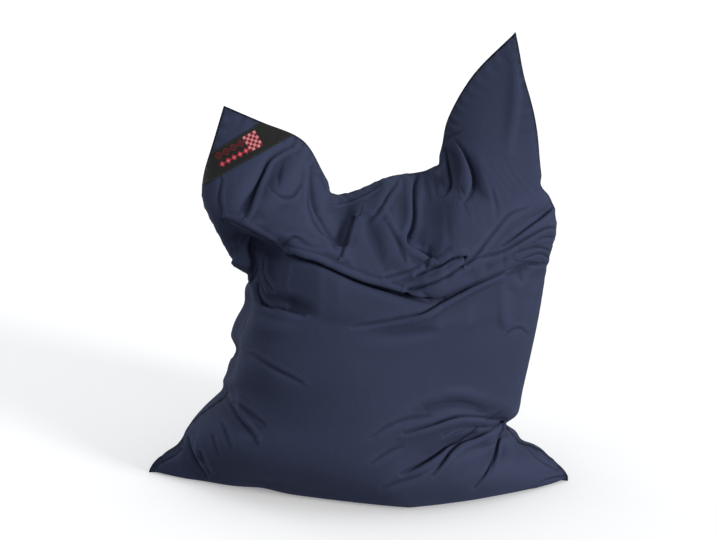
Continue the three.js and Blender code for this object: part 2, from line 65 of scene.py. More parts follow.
# A fold has the width of its valley on each side, its lip, and the spots a, b that it runs through
# with the depth there; a negative depth is a ridge. The cloth on its left, or on its right if the
# lip is negative, rolls up and leans over the valley by that share of the depth.
FOLDS = {
    "front": {
        "short_ear_crease": (13, 0.7, ((-183, 347, 2), (-217, 330, 5), (-248, 305, 9),
            (-267, 260, 14), (-287, 210, 13), (-301, 176, 9), (-315, 151, 3))),
        "short_ear_pocket": (12, -0.4, ((-242, 224, 2), (-214, 204, 5), (-183, 207, 5),
            (-161, 235, 2))),
        "short_ear_soft": (14, 0.3, ((-209, 308, 1), (-220, 269, 3), (-220, 232, 1))),
        "short_ear_side": (12, 0.4, ((-382, 252, 2), (-388, 202, 6), (-379, 151, 5))),
        "short_ear_bend": (15, -0.5, ((-130, 286, 3), (-133, 224, 9), (-125, 174, 12),
            (-102, 132, 11), (-80, 95, 9), (-63, 62, 3))),
        "notch_crease": (10, 0.4, ((-105, 269, 2), (-91, 232, 4), (-74, 199, 2))),
        "flap_hem_left": (12, 0.6, ((-374, 143, 7), (-329, 126, 11), (-284, 104, 14),
            (-251, 84, 14), (-225, 62, 12), (-197, 48, 9))),
        "flap_hem": (13, 0.8, ((-197, 48, 10), (-161, 36, 12), (-119, 25, 12), (-77, 8, 14),
            (-35, -11, 15), (21, -34, 16), (77, -50, 16), (133, -70, 13), (169, -81, 7),
            (203, -95, 2))),
        "flap_hollow": (24, 0.0, ((-329, 95, 10), (-295, 76, 24), (-262, 59, 26), (-228, 48, 14),
            (-195, 34, 3))),
        "flap_hollow_side": (18, -0.2, ((-301, 67, 10), (-293, 22, 14), (-301, -22, 10))),
        "short_ear_pucker": (12, 0.4, ((-209, 73, 2), (-181, 92, 5), (-150, 81, 1))),
        "left_shoulder_a": (10, 0.5, ((-265, 28, 4), (-265, -6, 8), (-253, -34, 10),
            (-239, -56, 4))),
        "left_shoulder_b": (9, -0.4, ((-281, 22, 2), (-287, -6, 5), (-301, -31, 7))),
        "left_pocket": (12, 0.6, ((-279, -39, 6), (-276, -67, 12), (-262, -92, 12),
            (-245, -109, 6))),
        "left_pinch_hollow": (15, -0.7, ((-267, -95, 6), (-234, -106, 10), (-195, -115, 10),
            (-153, -123, 3))),
        "left_pinch_shade": (20, 0.0, ((-256, -73, 6), (-220, -84, 12), (-186, -95, 12),
            (-155, -106, 5))),
        "saddle_seam_line": (10, -0.5, ((-55, 185, 4), (-15, 196, 6), (24, 213, 6), (66, 238, 4))),
        "saddle_diagonal": (14, 0.5, ((108, 241, 3), (85, 210, 7), (69, 179, 8), (52, 157, 6),
            (24, 132, 1))),
        "saddle_hook": (9, -0.4, ((10, 176, 2), (4, 157, 4), (-15, 140, 6))),
        "saddle_crease": (12, 0.7, ((-13, 143, 6), (-21, 115, 10), (-32, 81, 10), (-49, 39, 5))),
        "saddle_ridge": (11, 0.0, ((74, 174, -2), (102, 123, -5), (130, 76, -6), (161, 42, -5),
            (189, 25, -2))),
        "saddle_ridge_foot": (11, 0.3, ((85, 129, 2), (113, 76, 5), (133, 28, 3))),
        "saddle_bend": (13, -0.7, ((167, 263, 6), (155, 235, 12), (153, 196, 14), (153, 154, 15),
            (147, 118, 14), (136, 92, 13), (136, 76, 13), (150, 62, 13), (178, 50, 13),
            (206, 34, 9))),
        "saddle_bend_end": (8, 0.4, ((203, 34, 6), (195, 17, 6), (181, 6, 3))),
        "saddle_valley": (34, 0.0, ((197, 252, 1), (189, 182, 6), (178, 106, 6), (189, 67, 1))),
        "lens_upper": (11, 0.8, ((164, -14, 9), (195, 3, 14), (231, 17, 16), (265, 36, 15),
            (298, 39, 10))),
        "lens_end": (8, -0.5, ((298, 39, 7), (298, 20, 8), (281, 6, 5))),
        "lens_lower": (11, -0.6, ((287, 11, 7), (262, -8, 12), (225, -28, 13), (186, -42, 12),
            (141, -53, 9))),
        "hem_shade": (14, 0.0, ((-21, -14, 2), (35, -31, 6), (85, -45, 8), (133, -56, 8),
            (181, -50, 3))),
        "lens_left": (12, 0.5, ((167, 6, 3), (125, -8, 6), (80, -20, 4))),
        "tall_foot_crease": (10, -0.5, ((245, 336, 4), (251, 294, 12), (256, 263, 13),
            (259, 235, 11), (248, 213, 6), (231, 202, 1))),
        "tall_foot_valley": (13, -0.5, ((273, 361, 3), (295, 330, 9), (312, 291, 12),
            (321, 252, 13), (318, 221, 9), (298, 190, 3))),
        "tall_ear_ridge": (22, 0.0, ((447, 616, -3), (447, 532, -6), (441, 434, -6),
            (427, 336, -2))),
        "tall_ear_side": (15, 0.3, ((256, 372, 3), (276, 384, 2), (298, 395, 0))),
        "fan_soft": (13, 0.5, ((472, 174, 1), (427, 157, 4), (396, 123, 5), (365, 84, 5),
            (335, 45, 8), (304, 14, 6))),
        "fan_top": (11, 0.7, ((542, 168, 11), (511, 143, 11), (483, 123, 10), (449, 98, 9),
            (407, 67, 4))),
        "fan_third": (11, 0.7, ((547, 118, 9), (525, 115, 10), (497, 101, 11), (466, 84, 10),
            (427, 62, 8), (388, 45, 6), (343, 34, 6), (307, 17, 6))),
        "fan_short": (9, 0.5, ((553, 92, 6), (531, 92, 6), (508, 87, 2))),
        "fan_fourth": (10, 0.6, ((539, 53, 7), (514, 62, 7), (489, 62, 6), (452, 50, 2))),
        "fan_fifth": (9, 0.6, ((536, 31, 7), (514, 45, 6), (486, 39, 5), (458, 28, 1))),
        "fan_hem": (9, 0.5, ((531, 17, 4), (489, 17, 4), (444, 25, 2))),
        "chest_crease": (11, -0.7, ((-15, -157, 1), (63, -146, 4), (125, -134, 6), (186, -120, 10),
            (234, -92, 10), (279, -67, 8), (321, -45, 7), (365, -25, 6), (407, -6, 2))),
        "chest_corner": (8, 0.0, ((178, -59, 1), (197, -76, 2), (206, -92, 1))),
        "side_pinch": (11, 0.4, ((421, -174, 1), (441, -162, 4), (458, -162, 4), (475, -176, 1))),
        "waist_line": (14, 0.4, ((-293, -235, 2), (-251, -266, 4), (-200, -294, 4),
            (-155, -316, 1))),
        "hip_crease": (14, 0.9, ((-365, -358, 9), (-346, -389, 13), (-321, -423, 12),
            (-287, -470, 4))),
        "hip_second": (11, 0.5, ((-340, -370, 4), (-301, -400, 5), (-259, -434, 1))),
        "hip_low": (10, 0.4, ((-379, -431, 4), (-368, -462, 6), (-357, -496, 1))),
        "fin_crease": (11, 0.6, ((-475, -470, 8), (-466, -504, 13), (-447, -540, 13),
            (-424, -577, 5))),
        "fin_second": (9, 0.5, ((-441, -510, 4), (-430, -540, 8), (-413, -568, 3))),
        "fin_third": (9, 0.4, ((-407, -465, 3), (-399, -493, 5), (-391, -518, 1))),
        "fin_fold": (11, -0.6, ((-497, -504, 5), (-519, -521, 7), (-550, -538, 5),
            (-570, -554, 2))),
        "fan_low_a": (12, 0.8, ((413, -423, 16), (377, -420, 16), (340, -414, 14), (295, -412, 14),
            (256, -420, 14), (223, -431, 12), (183, -442, 8), (130, -456, 3))),
        "fan_low_b": (11, 0.7, ((407, -431, 12), (360, -440, 12), (309, -442, 11), (276, -448, 10),
            (245, -462, 4))),
        "fan_low_c": (11, 0.7, ((405, -434, 13), (371, -451, 13), (337, -468, 13), (298, -484, 14),
            (265, -507, 14), (242, -535, 10), (209, -574, 3))),
        "fan_low_d": (12, 0.7, ((326, -451, 4), (290, -476, 12), (253, -496, 14), (220, -521, 14),
            (178, -546, 12), (125, -571, 4))),
        "fan_low_e": (8, 0.5, ((405, -442, 8), (396, -482, 8), (388, -521, 8), (371, -568, 3))),
        "fan_low_f": (8, 0.5, ((399, -465, 5), (382, -521, 8), (360, -568, 8), (326, -610, 3))),
        "fan_low_g": (16, 0.3, ((169, -577, 1), (125, -591, 5), (74, -610, 2))),
        "fan_low_h": (16, 0.3, ((197, -409, 1), (141, -417, 4), (85, -437, 3), (41, -465, 1))),
        "low_arch": (28, 0.0, ((186, -384, -2), (225, -361, -7), (270, -350, -10), (315, -356, -9),
            (360, -381, -4))),
        "fan_low_i": (15, 0.3, ((125, -493, 1), (85, -510, 4), (41, -540, 1))),
        "fin_right_crease": (11, 0.5, ((433, -454, 5), (466, -493, 6), (511, -532, 5),
            (556, -560, 3))),
        "fin_right_under": (10, -0.5, ((584, -577, 2), (556, -580, 5), (525, -588, 3))),
    },
    "back": {
        "back_ear_crease": (15, -0.6, ((160, 330, 3), (235, 250, 12), (262, 160, 8))),
        "back_ear_valley": (15, 0.6, ((-262, 330, 3), (-280, 250, 12), (-250, 150, 8))),
        "back_drape_a": (16, 0.6, ((-300, 190, 4), (-210, 110, 12), (-150, 30, 8))),
        "back_drape_b": (16, -0.6, ((330, 190, 4), (260, 110, 12), (190, 30, 8))),
        "back_drape_c": (15, 0.6, ((60, 175, 5), (50, 110, 11), (10, 40, 6))),
        "back_drape_d": (15, -0.6, ((-80, 150, 4), (-60, 100, 9), (-70, 40, 6))),
        "back_fan_a": (13, 0.6, ((530, 60, 12), (430, 30, 9), (320, -10, 3))),
        "back_fan_b": (13, 0.6, ((536, 20, 10), (430, 0, 8), (330, -40, 3))),
        "back_fan_c": (13, -0.6, ((-345, 20, 12), (-260, 0, 9), (-150, -30, 3))),
        "back_fan_d": (13, -0.6, ((-346, -12, 1), (-312, -27, 8), (-255, -42, 8), (-170, -60, 2))),
        "back_chest_crease": (15, 0.5, ((-230, -130, 2), (-60, -180, 9), (180, -160, 2))),
        "back_chest_soft": (18, 0.4, ((60, -240, 1), (180, -250, 5), (320, -210, 1))),
        "back_low_a": (13, 0.6, ((408, -436, 12), (290, -410, 11), (130, -470, 3))),
        "back_low_b": (13, 0.6, ((408, -440, 11), (300, -470, 10), (150, -560, 2))),
        "back_low_c": (12, 0.5, ((404, -444, 8), (350, -500, 7), (300, -590, 2))),
        "back_low_d": (13, -0.6, ((-370, -340, 12), (-280, -400, 10), (-160, -440, 3))),
        "back_low_e": (13, -0.6, ((-376, -350, 10), (-310, -450, 9), (-220, -540, 2))),
        "back_low_f": (12, -0.5, ((-470, -500, 8), (-440, -540, 8), (-410, -600, 2))),
    },
}

# A nudge moves what lies near the spot a, b by da, db, fading out over its reach. It takes the
# cloth beside the seam, the cloth on the seam's crease, the front of the bag, or all of it.
NUDGES = {
    "shoulder_strip": ("all", -340, -90, 20, 0, 38),
    "waist_dent": ("all", -379, -224, 39, 0, 34),
    "hip_bump": ("all", -357, -311, -20, 0, 20),
    "hip_corner": ("all", -396, -361, 17, 14, 18),
    "fin_top_dent": ("seam", -494, -496, 8, -3, 16),
    "flap_corner": ("all", -340, 6, -20, 0, 11),
    "flap_corner_under": ("all", -315, -17, 11, 3, 9),
    "right_pinch": ("all", 435, -431, -25, 0, 16),
    "right_fin_dent": ("all", 466, -470, -17, -11, 24),
    "right_corner": ("seam", 545, 171, 8, 0, 8),
    "right_corner_dent": ("seam", 542, 154, -8, 0, 6),
    "tall_foot_notch": ("seam", 225, 294, 14, -8, 15),
    "tall_side_dent": ("seam", 522, 235, -14, 0, 18),
    "tall_ear_edge": ("seam", 472, 546, -6, 0, 60),
    "short_ear_notch": ("seam", -60, 224, -14, -8, 18),
    "flap_left": ("front", -206, 22, 0, 17, 40),
    "flap_middle": ("front", -91, -11, 0, 8, 40),
    "flap_point": ("front", 133, -90, 0, 17, 40),
    "low_left": ("all", -273, -636, 0, 8, 50),
    "waist_seam": ("crease", -329, -134, 8, 0, 60),
}

# A lift moves the front of the bag up by as much as the line says at each spot, fading out over its
# reach on both sides.
LIFTS = {
    "flap_edge": (80, ((-396, 134, 0), (-363, 109, 14), (-329, 90, 25), (-301, 76, 31),
        (-273, 62, 34), (-239, 36, 36), (-203, 14, 36), (-161, -3, 39), (-105, -25, 45),
        (-49, -48, 50), (7, -62, 34), (63, -67, 20), (119, -76, 8), (175, -81, 0))),
    "chest_edge": (50, ((197, -92, 0), (231, -76, -14), (273, -50, -17), (315, -25, -20),
        (357, -6, -20), (399, 8, -17), (444, 22, 0))),
}

# Where the belly is brought forward under the flap: how far across, the height and Y of the flap's
# lower edge there, and the height and Y of the spot on the belly that the cloth runs down to.
TUCK = {
    "left_end": (-178, 695, -205, 540, -205),
    "left": (-98, 677, -228, 522, -262),
    "left_middle": (-44, 658, -240, 516, -276),
    "hem": (-17, 642, -242, 515, -280),
    "middle": (63, 612, -250, 511, -288),
    "point": (143, 590, -256, 508, -290),
    "right_middle": (223, 573, -245, 510, -294),
    "right": (303, 607, -212, 511, -270),
    "right_end": (384, 634, -170, 510, -229),
}


def smooth(value, low, high):
    """0 below low, 1 above high, with a soft turn between them."""
    t = np.clip((value - low) / (high - low), 0, 1)
    return t * t * (3 - 2 * t)


def bell(distance, reach):
    """1 at no distance, fading out over the reach."""
    return np.exp(-((distance / reach) ** 2))


def settings():
    return bpy.context.scene.bean_bag


# Meshes


def work_on(piece):
    """Makes the piece the only selected and active object."""
    bpy.ops.object.select_all(action="DESELECT")
    piece.select_set(True)
    bpy.context.view_layer.objects.active = piece


def adjust(thing, **values):
    for key, value in values.items():
        setattr(thing, key, value)


def new_piece(name, mesh):
    piece = bpy.data.objects.new(name, mesh)
    bpy.context.collection.objects.link(piece)
    return piece


def settle(piece):
    """Takes the place, turn and size of a piece into its mesh, and leaves it at the origin."""
    work_on(piece)
    bpy.ops.object.transform_apply(location=True, rotation=True, scale=True)


def apply_modifier(piece, kind, **values):
    work_on(piece)
    modifier = piece.modifiers.new(kind.title(), kind)
    adjust(modifier, **values)
    bpy.ops.object.modifier_apply(modifier=modifier.name)


def subdivide(piece, levels):
    apply_modifier(piece, "SUBSURF", levels=levels, render_levels=levels, quality=3)


def read(items, name, kind, width):
    """A value of all points, edges or corners of a mesh, in rows of the given width."""
    flat = np.empty(len(items) * width, dtype=kind)
    items.foreach_get(name, flat)
    return flat.reshape(-1, width)


def points_of(mesh):
    return read(mesh.vertices, "co", np.float32, 3).astype(float)


def set_points(mesh, points):
    mesh.vertices.foreach_set("co", points.astype(np.float32).ravel())
    mesh.update()


def normals_of(mesh):
    return read(mesh.vertex_normals, "vector", np.float32, 3).astype(float)


def edges_of(mesh):
    return read(mesh.edges, "vertices", np.int32, 2)


def shape_of(mesh):
    """A copy of a mesh whose faces can be walked over and split."""
    shape = bmesh.new()
    shape.from_mesh(mesh)
    shape.verts.ensure_lookup_table()
    return shape


def tree_of(piece):
    return BVHTree.FromObject(piece, bpy.context.evaluated_depsgraph_get())


def measured(line):
    """The lengths of the steps of a line, and how far along it each of its points lies."""
    steps = np.linalg.norm(np.diff(line, axis=0), axis=1)
    return steps, np.concatenate([[0], steps.cumsum()])


def evened(values, edges, rounds):
    """Values of the vertices, averaged with their neighbours a number of times."""
    count = np.zeros(len(values))
    np.add.at(count, edges.ravel(), 1)
    for _ in range(rounds):
        total = np.zeros_like(values)
        np.add.at(total, edges[:, 0], values[edges[:, 1]])
        np.add.at(total, edges[:, 1], values[edges[:, 0]])
        values = (values + total / (count[:, None] if values.ndim > 1 else count)) / 2
    return values


def store(mesh, name, values):
    """Keeps a number for each vertex under a name that materials can read."""
    layer = mesh.attributes.get(name) or mesh.attributes.new(name, "FLOAT", "POINT")
    layer.data.foreach_set("value", np.asarray(values, dtype=np.float32))


def weigh(piece, name, weights):
    """A vertex group with a weight for each vertex."""
    group = piece.vertex_groups.new(name=name)
    for level in np.unique(np.round(weights, 2)):
        members = np.nonzero(np.round(weights, 2) == level)[0]
        group.add(members.tolist(), float(level), "REPLACE")


# The seam

# A walk along the seam that closes after fewer edges than this has left it.
FEWEST_ON_SEAM = 150


def straight_on(vertex, edge):
    """The edge on the other side of a vertex, with as many faces to its left as to its right."""
    face = edge.link_faces[0]
    for _ in range(len(vertex.link_edges) // 2):
        edge = next(e for e in face.edges if e is not edge and vertex in e.verts)
        face = next(f for f in edge.link_faces if f is not face)
    return edge


def mark_seam(shape):
    """Follows the seam all round from the tall ear's tip and marks its edges. The two corners on
    the diagonal have four edges, and all others on the seam six, so it always runs straight on."""
    shape.verts.ensure_lookup_table()
    tip = max(shape.verts, key=lambda v: v.co.z)
    edge = max(tip.link_edges, key=lambda e: e.other_vert(tip).co.x)
    vertex, count = tip, 0
    while not edge.seam:
        edge.seam = True
        vertex = edge.other_vert(vertex)
        edge = straight_on(vertex, edge)
        count += 1
    if count < FEWEST_ON_SEAM:
        raise RuntimeError(f"the seam closed after {count} edges")


def seam_walk(mesh):
    """The vertex numbers along the seam in order, starting at the tall ear's tip and going down."""
    shape = shape_of(mesh)
    tip = max(shape.verts, key=lambda v: v.co.z)
    on_seam = [e for e in tip.link_edges if e.seam]
    edge = max(on_seam, key=lambda e: e.other_vert(tip).co.x)
    vertex, walk = edge.other_vert(tip), [tip.index]
    while vertex is not tip:
        walk.append(vertex.index)
        edge = next(e for e in vertex.link_edges if e.seam and e is not edge)
        vertex = edge.other_vert(vertex)
    shape.free()
    return walk


def seam_places(mesh):
    """How far each point is from the seam, and how far along the seam it lies."""
    points, walk = points_of(mesh), seam_walk(mesh)
    _, along = measured(points[walk])
    tree = KDTree(len(walk))
    for i, number in enumerate(walk):
        tree.insert(Vector(points[number]), i)
    tree.balance()
    found = [tree.find(Vector(p)) for p in points]
    return np.array([f[2] for f in found]), along[[f[1] for f in found]]


def above_floor(points, mesh):
    """The new points of a mesh, with its flat underside left flat and nothing below the floor."""
    hair = 0.0005
    flat = points_of(mesh)[:, 2] < hair
    points[:, 2] = np.where(flat, 0, np.maximum(points[:, 2], 0))
    return points


# How much larger a flat panel is than it looks when filled, and how far apart the two are laid out.
PANEL_FULLNESS = 1.12
PANEL_STEP = 2.0


def spread(points):
    """The usual distance of points from their middle."""
    return np.sqrt(((points - points.mean(0)) ** 2).sum(1).mean())


def panel_uv(mesh):
    """Scales the unwrapped panels to metres and stands each one upright on its bottom seam."""
    layer = mesh.uv_layers.active
    uv = read(layer.data, "uv", np.float32, 2).astype(float)
    corners = points_of(mesh)[read(mesh.loops, "vertex_index", np.int32, 1)[:, 0]]
    shape = shape_of(mesh)
    panel_of = np.full(len(shape.faces), -1)
    for panel in range(2):
        start = next(f for f in shape.faces if panel_of[f.index] < 0)
        panel_of[start.index], waiting = panel, [start]
        while waiting:
            for edge in waiting.pop().edges:
                for other in edge.link_faces if not edge.seam else ():
                    if panel_of[other.index] < 0:
                        panel_of[other.index] = panel
                        waiting.append(other)
    sizes = [len(f.verts) for f in shape.faces]
    shape.free()
    for panel in range(2):
        rows = np.nonzero(np.repeat(panel_of, sizes) == panel)[0]
        at, flat = corners[rows], uv[rows]
        flat = flat - flat.mean(0)
        upward = (flat * (at[:, 2:3] - at[:, 2].mean())).sum(0)
        turn = math.atan2(upward[0], upward[1])
        cos, sin = math.cos(turn), math.sin(turn)
        flat = flat @ np.array([[cos, sin], [-sin, cos]])
        uv[rows] = flat * spread(at) / spread(flat) * PANEL_FULLNESS + [PANEL_STEP * panel, 0]
    layer.data.foreach_set("uv", uv.astype(np.float32).ravel())


# Folds


def sight(points, side):
    """Where points lie on the chart, and the axes towards the eye and upwards."""
    turn = 1 if side == "back" else -1
    towards = np.array([0, turn * math.cos(EYE_RISE), math.sin(EYE_RISE)])
    upward = np.array([0, -turn * math.sin(EYE_RISE), math.cos(EYE_RISE)])
    offset = points - MIDDLE
    scale = 1000 * EYE_DISTANCE / (EYE_DISTANCE - offset @ towards)
    return np.stack([offset[:, 0] * scale, offset @ upward * scale], 1), towards, upward


def curve(spots):
    """A smooth line through the spots of a fold, with its depth as the third number."""
    spots, steps = np.array(spots, dtype=float), 6
    ends = np.vstack([2 * spots[0] - spots[1], spots, 2 * spots[-1] - spots[-2]])
    t = (np.arange(steps) / steps)[:, None]
    line = []
    for a, b, c, d in zip(ends, ends[1:], ends[2:], ends[3:]):
        squared, cubed = a - 2.5 * b + 2 * c - d / 2, 1.5 * (b - c) + (d - a) / 2
        line.append(b + (c - a) * t / 2 + squared * t**2 + cubed * t**3)
    return np.vstack([*line, spots[-1:]])


def beside(spots, line):
    """The distance from a line, positive on its left, with its depth and its left hand there."""
    start, run = line[:-1, :2], np.diff(line[:, :2], axis=0)
    offset = spots[:, None] - start[None]
    along = np.clip((offset * run).sum(2) / (run**2).sum(1), 0, 1)
    apart = offset - along[..., None] * run
    distance = np.hypot(apart[..., 0], apart[..., 1])
    best = distance.argmin(1)
    rows = np.arange(len(spots))
    course = run / np.linalg.norm(run, axis=1)[:, None]
    left = np.stack([-course[best, 1], course[best, 0]], 1)
    sign = np.where((apart[rows, best] * left).sum(1) < 0, -1, 1)
    depth = line[best, 2] + along[rows, best] * (line[best + 1, 2] - line[best, 2])
    return sign * distance[rows, best], depth, left


# A fold pushes the cloth in along its own normal and away from the eye, in these shares.
ALONG_NORMAL, FROM_EYE = 0.6, 0.4
# How high the cloth beside a fold rises and how far it leans over, as shares of the fold's depth.
CREST_HEIGHT, LEAN = 0.8, 0.7
# How many widths from its line a fold moves the cloth, and how many still count as near it.
FOLD_REACH, FOLD_NEAR = 3, 2.2


def profile(roll, rolled):
    """The cut through a fold, in widths from its line: how deep the valley is there, how high the
    crest on its rolled side, and how far that leans over."""
    reach = np.abs(roll) / np.where(roll > 0, 0.75, 1.25)
    valley = np.maximum(1 - reach, 0) ** 1.6
    crest = rolled * bell(roll - 1.2, 0.65)
    lean = rolled * bell(roll - 0.9, 0.6) * (roll > -0.5)
    return valley, crest, lean


def press_folds(points, normals, narrow, deepness, roll_up):
    """How far each point moves for the folds, in metres, and how near it is to one."""
    moved, near_one = np.zeros_like(points), np.zeros(len(points))
    for side, folds in FOLDS.items():
        spots, towards, upward = sight(points, side)
        facing = smooth(normals @ towards, 0.08, 0.45)
        push = normals * ALONG_NORMAL + towards * FROM_EYE
        for width, lip, line in folds.values():
            width *= narrow
            line = curve(line)
            reach, ends = FOLD_REACH * width, line[:, :2]
            near = ((spots > ends.min(0) - reach) & (spots < ends.max(0) + reach)).all(1)
            near &= facing > 0
            if not near.any():
                continue
            distance, depth, left = beside(spots[near], line)
            beside_it = facing[near] * (np.abs(distance) < FOLD_NEAR * width)
            near_one[near] = np.maximum(near_one[near], beside_it)
            depth *= facing[near] * deepness
            if lip:
                roll = np.sign(lip) * distance / width
                valley, crest, lean = profile(roll, roll_up * abs(lip))
            else:
                valley = bell(distance, width)
                crest = lean = np.zeros(len(distance))
            inward = depth * (valley - CREST_HEIGHT * crest) / 1000
            across = -np.sign(lip) * LEAN * depth * lean / 1000
            moved[near] -= inward[:, None] * push[near]
            moved[near, 0] += across * left[:, 0]
            moved[near] += (across * left[:, 1])[:, None] * upward
    return moved, near_one


def nudge(points, from_seam):
    """Shifts the cloth at the charted spots and lifts."""
    spots, _, upward = sight(points, "front")
    in_front = smooth(-points[:, 1], 0.0, 0.08)
    shares = {"seam": bell(from_seam, 0.05), "crease": bell(from_seam, 0.016), "front": in_front}
    moved = np.zeros_like(points)
    for kind, a, b, da, db, reach in NUDGES.values():
        share = np.exp(-((spots - [a, b]) ** 2).sum(1) / reach**2) * shares.get(kind, 1)
        moved[:, 0] += share * da / 1000
        moved += (share * db / 1000)[:, None] * upward
    for reach, line in LIFTS.values():
        distance, lift, _ = beside(spots, curve(line))
        share = bell(distance, reach) * in_front
        moved += (share * lift / 1000)[:, None] * upward
    return points + moved


def fill_tuck(points):
    """Brings the belly forward under the flap, where the solid is hollower than the cloth."""
    x, y, z = points.T * 1000
    where, edge, edge_y, base, base_y = np.array([*TUCK.values()], dtype=float).T
    edge, edge_y, base, base_y = (np.interp(x, where, row) for row in (edge, edge_y, base, base_y))
    rise = np.clip((z - base) / (edge - base), 0, 1)
    wall = base_y + (edge_y - base_y) * rise**1.9
    share = smooth(z, base - 30, base) * (1 - smooth(z, edge, edge + 15)) * smooth(-y, 30, 80)
    share *= smooth(x, where[0] - 60, where[0]) * (1 - smooth(x, where[-1], where[-1] + 60))
    filled = points.copy()
    filled[:, 1] += share * np.minimum(0, wall - y) / 1000
    return filled


def room_inside(piece, points, normals, rows):
    """How thick the piece is under each of the given points, up to a quarter of a metre."""
    most, skin = 0.25, 0.002
    tree = tree_of(piece)
    room = np.full(len(points), most)
    for i in rows:
        inward = Vector(-normals[i])
        hit = tree.ray_cast(Vector(points[i]) + inward * skin, inward, most)
        if hit[0] is not None:
            room[i] = hit[3] + skin
    return room


# How far the simulation may move the cloth.
FARTHEST_SHIFT = 0.016


def slack_and_hold(mesh):
    """How slack the cloth is at each point and how firmly it is held, both from 0 to 1. The
    slumped top and the lower corners are slack, and the ears, the hem and the seam tight."""
    points = points_of(mesh)
    across, _, height = points.T
    top, ears = smooth(height, 0.52, 0.62), smooth(height, 0.76, 0.9)
    fins = smooth(np.abs(across - 0.03), 0.33, 0.45) * (1 - smooth(height, 0.2, 0.3))
    slack = np.clip(0.25 + 0.75 * top + 0.6 * fins - ears, 0, 1) * smooth(height, 0.01, 0.08)
    from_hem = np.abs(beside(sight(points, "front")[0], curve(LIFTS["flap_edge"][1]))[0])
    hem = (1 - smooth(from_hem, 15, 55)) * (points[:, 1] < 0)
    hold = 0.06 + 0.3 * (1 - top) * (1 - fins) + 0.6 * hem + 0.25 * ears
    hold[seam_walk(mesh)] = 0.7
    hold[height < 0.004] = 1.0
    return slack, hold


def relax_cloth(piece):
    """Lets the cover buckle where it is slack: a cloth with a little too much length, under the
    pressure of the filling, and held where it is drawn tight."""
    mesh = piece.data
    before = points_of(mesh)
    slack, hold = slack_and_hold(mesh)
    weigh(piece, "slack", slack)
    weigh(piece, "hold", hold)
    modifier = piece.modifiers.new("Cloth", "CLOTH")
    adjust(
        modifier.settings, quality=6, mass=0.2, air_damping=2.0, tension_stiffness=20,
        compression_stiffness=20, shear_stiffness=8, bending_stiffness=0.1, use_pressure=True,
        uniform_pressure_force=4.0, vertex_group_mass="hold", pin_stiffness=1.0,
        vertex_group_shrink="slack", shrink_min=0.0, shrink_max=-settings().slack_length,
    )
    modifier.settings.effector_weights.gravity = 0
    adjust(modifier.collision_settings, use_collision=False, use_self_collision=False)
    for frame_number in range(1, settings().cloth_frames + 1):
        bpy.context.scene.frame_set(frame_number)
    work_on(piece)
    bpy.ops.object.modifier_apply(modifier=modifier.name)
    bpy.context.scene.frame_set(1)
    shift = points_of(mesh) - before
    length = np.linalg.norm(shift, axis=1)
    shift *= (np.minimum(length, FARTHEST_SHIFT) / np.maximum(length, 1e-9))[:, None]
    set_points(mesh, before + shift)
    piece.vertex_groups.clear()


# Materials


def sum_of(operation, flip=False):
    """An operator of a field: it adds a Math node, with the field first, or last if flipped."""

    def add(field, *others):
        terms = (*others, field) if flip else (field, *others)
        sockets = dict(enumerate(terms))
        return field.nodes.add("ShaderNodeMath", {"operation": operation}, sockets)

    return add


class Field:
    """The output of a node, to be used in sums like a number."""

    def __init__(self, nodes, socket):
        self.nodes, self.socket = nodes, socket

    __add__ = __radd__ = sum_of("ADD")
    __sub__, __rsub__ = sum_of("SUBTRACT"), sum_of("SUBTRACT", flip=True)
    __mul__ = __rmul__ = sum_of("MULTIPLY")
    __truediv__ = sum_of("DIVIDE")
    __mod__ = sum_of("FLOORED_MODULO")
    __lt__, __gt__ = sum_of("LESS_THAN"), sum_of("GREATER_THAN")
    __abs__ = sum_of("ABSOLUTE")
    sine = sum_of("SINE")
    either = sum_of("MAXIMUM")


class Nodes:
    """The nodes of a material or of the world."""

    def __init__(self, owner):
        owner.use_nodes = True
        self.tree = owner.node_tree

    def add(self, kind, choices=None, sockets=None, output=0):
        node = self.tree.nodes.new(kind)
        adjust(node, **(choices or {}))
        for key, value in (sockets or {}).items():
            self.plug(node.inputs[key], value)
        return Field(self, node.outputs[output])

    def plug(self, socket, value):
        if isinstance(value, Field):
            self.tree.links.new(value.socket, socket)
        else:
            socket.default_value = value

    def place(self, source="Object"):
        return self.add("ShaderNodeTexCoord", output=source)

    def axes(self, vector):
        split = self.add("ShaderNodeSeparateXYZ", sockets={0: vector}).socket.node
        return [Field(self, output) for output in split.outputs]

    def between(self, value, low, high, to_low=0.0, to_high=1.0):
        """The value carried from one range to another, held at its ends."""
        sockets = {0: value, 1: low, 2: high, 3: to_low, 4: to_high}
        return self.add("ShaderNodeMapRange", sockets=sockets)


class Finish(Nodes):
    """A material and the nodes that make it."""

    def __init__(self, name, **constants):
        self.material = bpy.data.materials.new(name)
        super().__init__(self.material)
        self.shader = self.tree.nodes["Principled BSDF"]
        self.finish_with(**constants)

    def attribute(self, name):
        return self.add("ShaderNodeAttribute", {"attribute_name": name}, output="Fac")

    def noise(self, place, scale, detail=2.0, rough=0.5):
        sockets = {"Vector": place, "Scale": scale, "Detail": detail, "Roughness": rough}
        return self.add("ShaderNodeTexNoise", sockets=sockets)

    def blend(self, share, first, second):
        """A mix of two colours, which are sockets 6 and 7 of a Mix node, with output 2."""
        sockets = {0: share, 6: first, 7: second}
        return self.add("ShaderNodeMix", {"data_type": "RGBA"}, sockets, output=2)

    def bump(self, height, distance, strength, under=None):
        sockets = {"Height": height, "Distance": distance, "Strength": strength}
        if under is not None:
            sockets["Normal"] = under
        return self.add("ShaderNodeBump", sockets=sockets)

    def finish_with(self, **values):
        for key, value in values.items():
            self.plug(self.shader.inputs[key.replace("_", " ")], value)
        return self.material


def colour(values, gain=1.0):
    return (*[min(1.0, v * gain) for v in values], 1.0)


def waves(place, length):
    return (place * (2 * math.pi / length)).sine()


